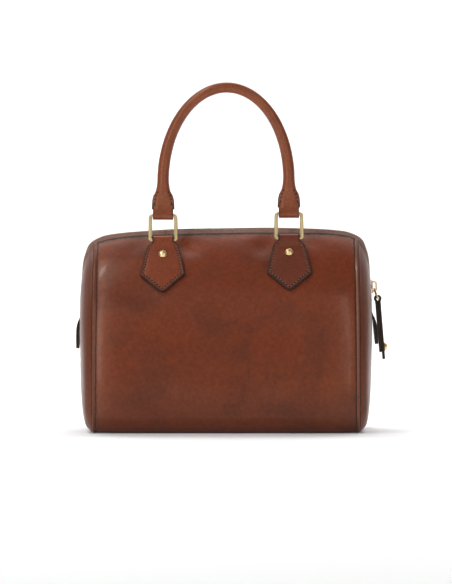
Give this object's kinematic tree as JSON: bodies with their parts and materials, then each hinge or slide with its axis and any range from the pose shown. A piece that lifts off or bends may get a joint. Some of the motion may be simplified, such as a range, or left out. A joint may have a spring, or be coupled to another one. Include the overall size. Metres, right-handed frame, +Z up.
{
  "type": "boston bag",
  "caption": "Barrel-shaped leather boston bag with domed end panels, a zip over the top and both ends, and rolled handles on metal rings.",
  "frame": {"origin": "on the flat base, in the middle of the bag's length and depth", "axes": "+Z up, +X along the bag to the right of someone facing its front, the front faces -Y"},
  "size_m": [0.3002, 0.1589, 0.3335],
  "materials": {
    "body_leather": "smooth glossy brown leather",
    "trim_leather": "smooth brown leather with dark painted edges",
    "handle_leather": "smooth rolled brown leather",
    "piping_leather": "smooth brown leather piping",
    "dark_leather": "near-black brown leather",
    "zip_tape": "woven cotton tape",
    "brass": "pale satin brass"
  },
  "bodies": {
    "root": {"body_wrap": "body_leather", "end_panel_left": "body_leather", "end_panel_right": "body_leather", "piping_left": "piping_leather", "piping_right": "piping_leather", "zip_tape_front": "zip_tape", "zip_tape_back": "zip_tape", "zip_chain": "brass", "zip_slider": "brass", "slider_link": "brass", "pull_strap": "trim_leather", "pull_stud": "brass", "zip_tab_left": "dark_leather", "zip_tab_right": "dark_leather", "tab_front_left": "trim_leather", "tab_front_right": "trim_leather", "tab_back_left": "trim_leather", "tab_back_right": "trim_leather", "ring_front_left": "brass", "ring_front_right": "brass", "ring_back_left": "brass", "ring_back_right": "brass", "stud_front_left": "brass", "stud_front_right": "brass", "stud_back_left": "brass", "stud_back_right": "brass", "handle_front": "handle_leather", "handle_back": "handle_leather"}
  },
  "joints": []
}
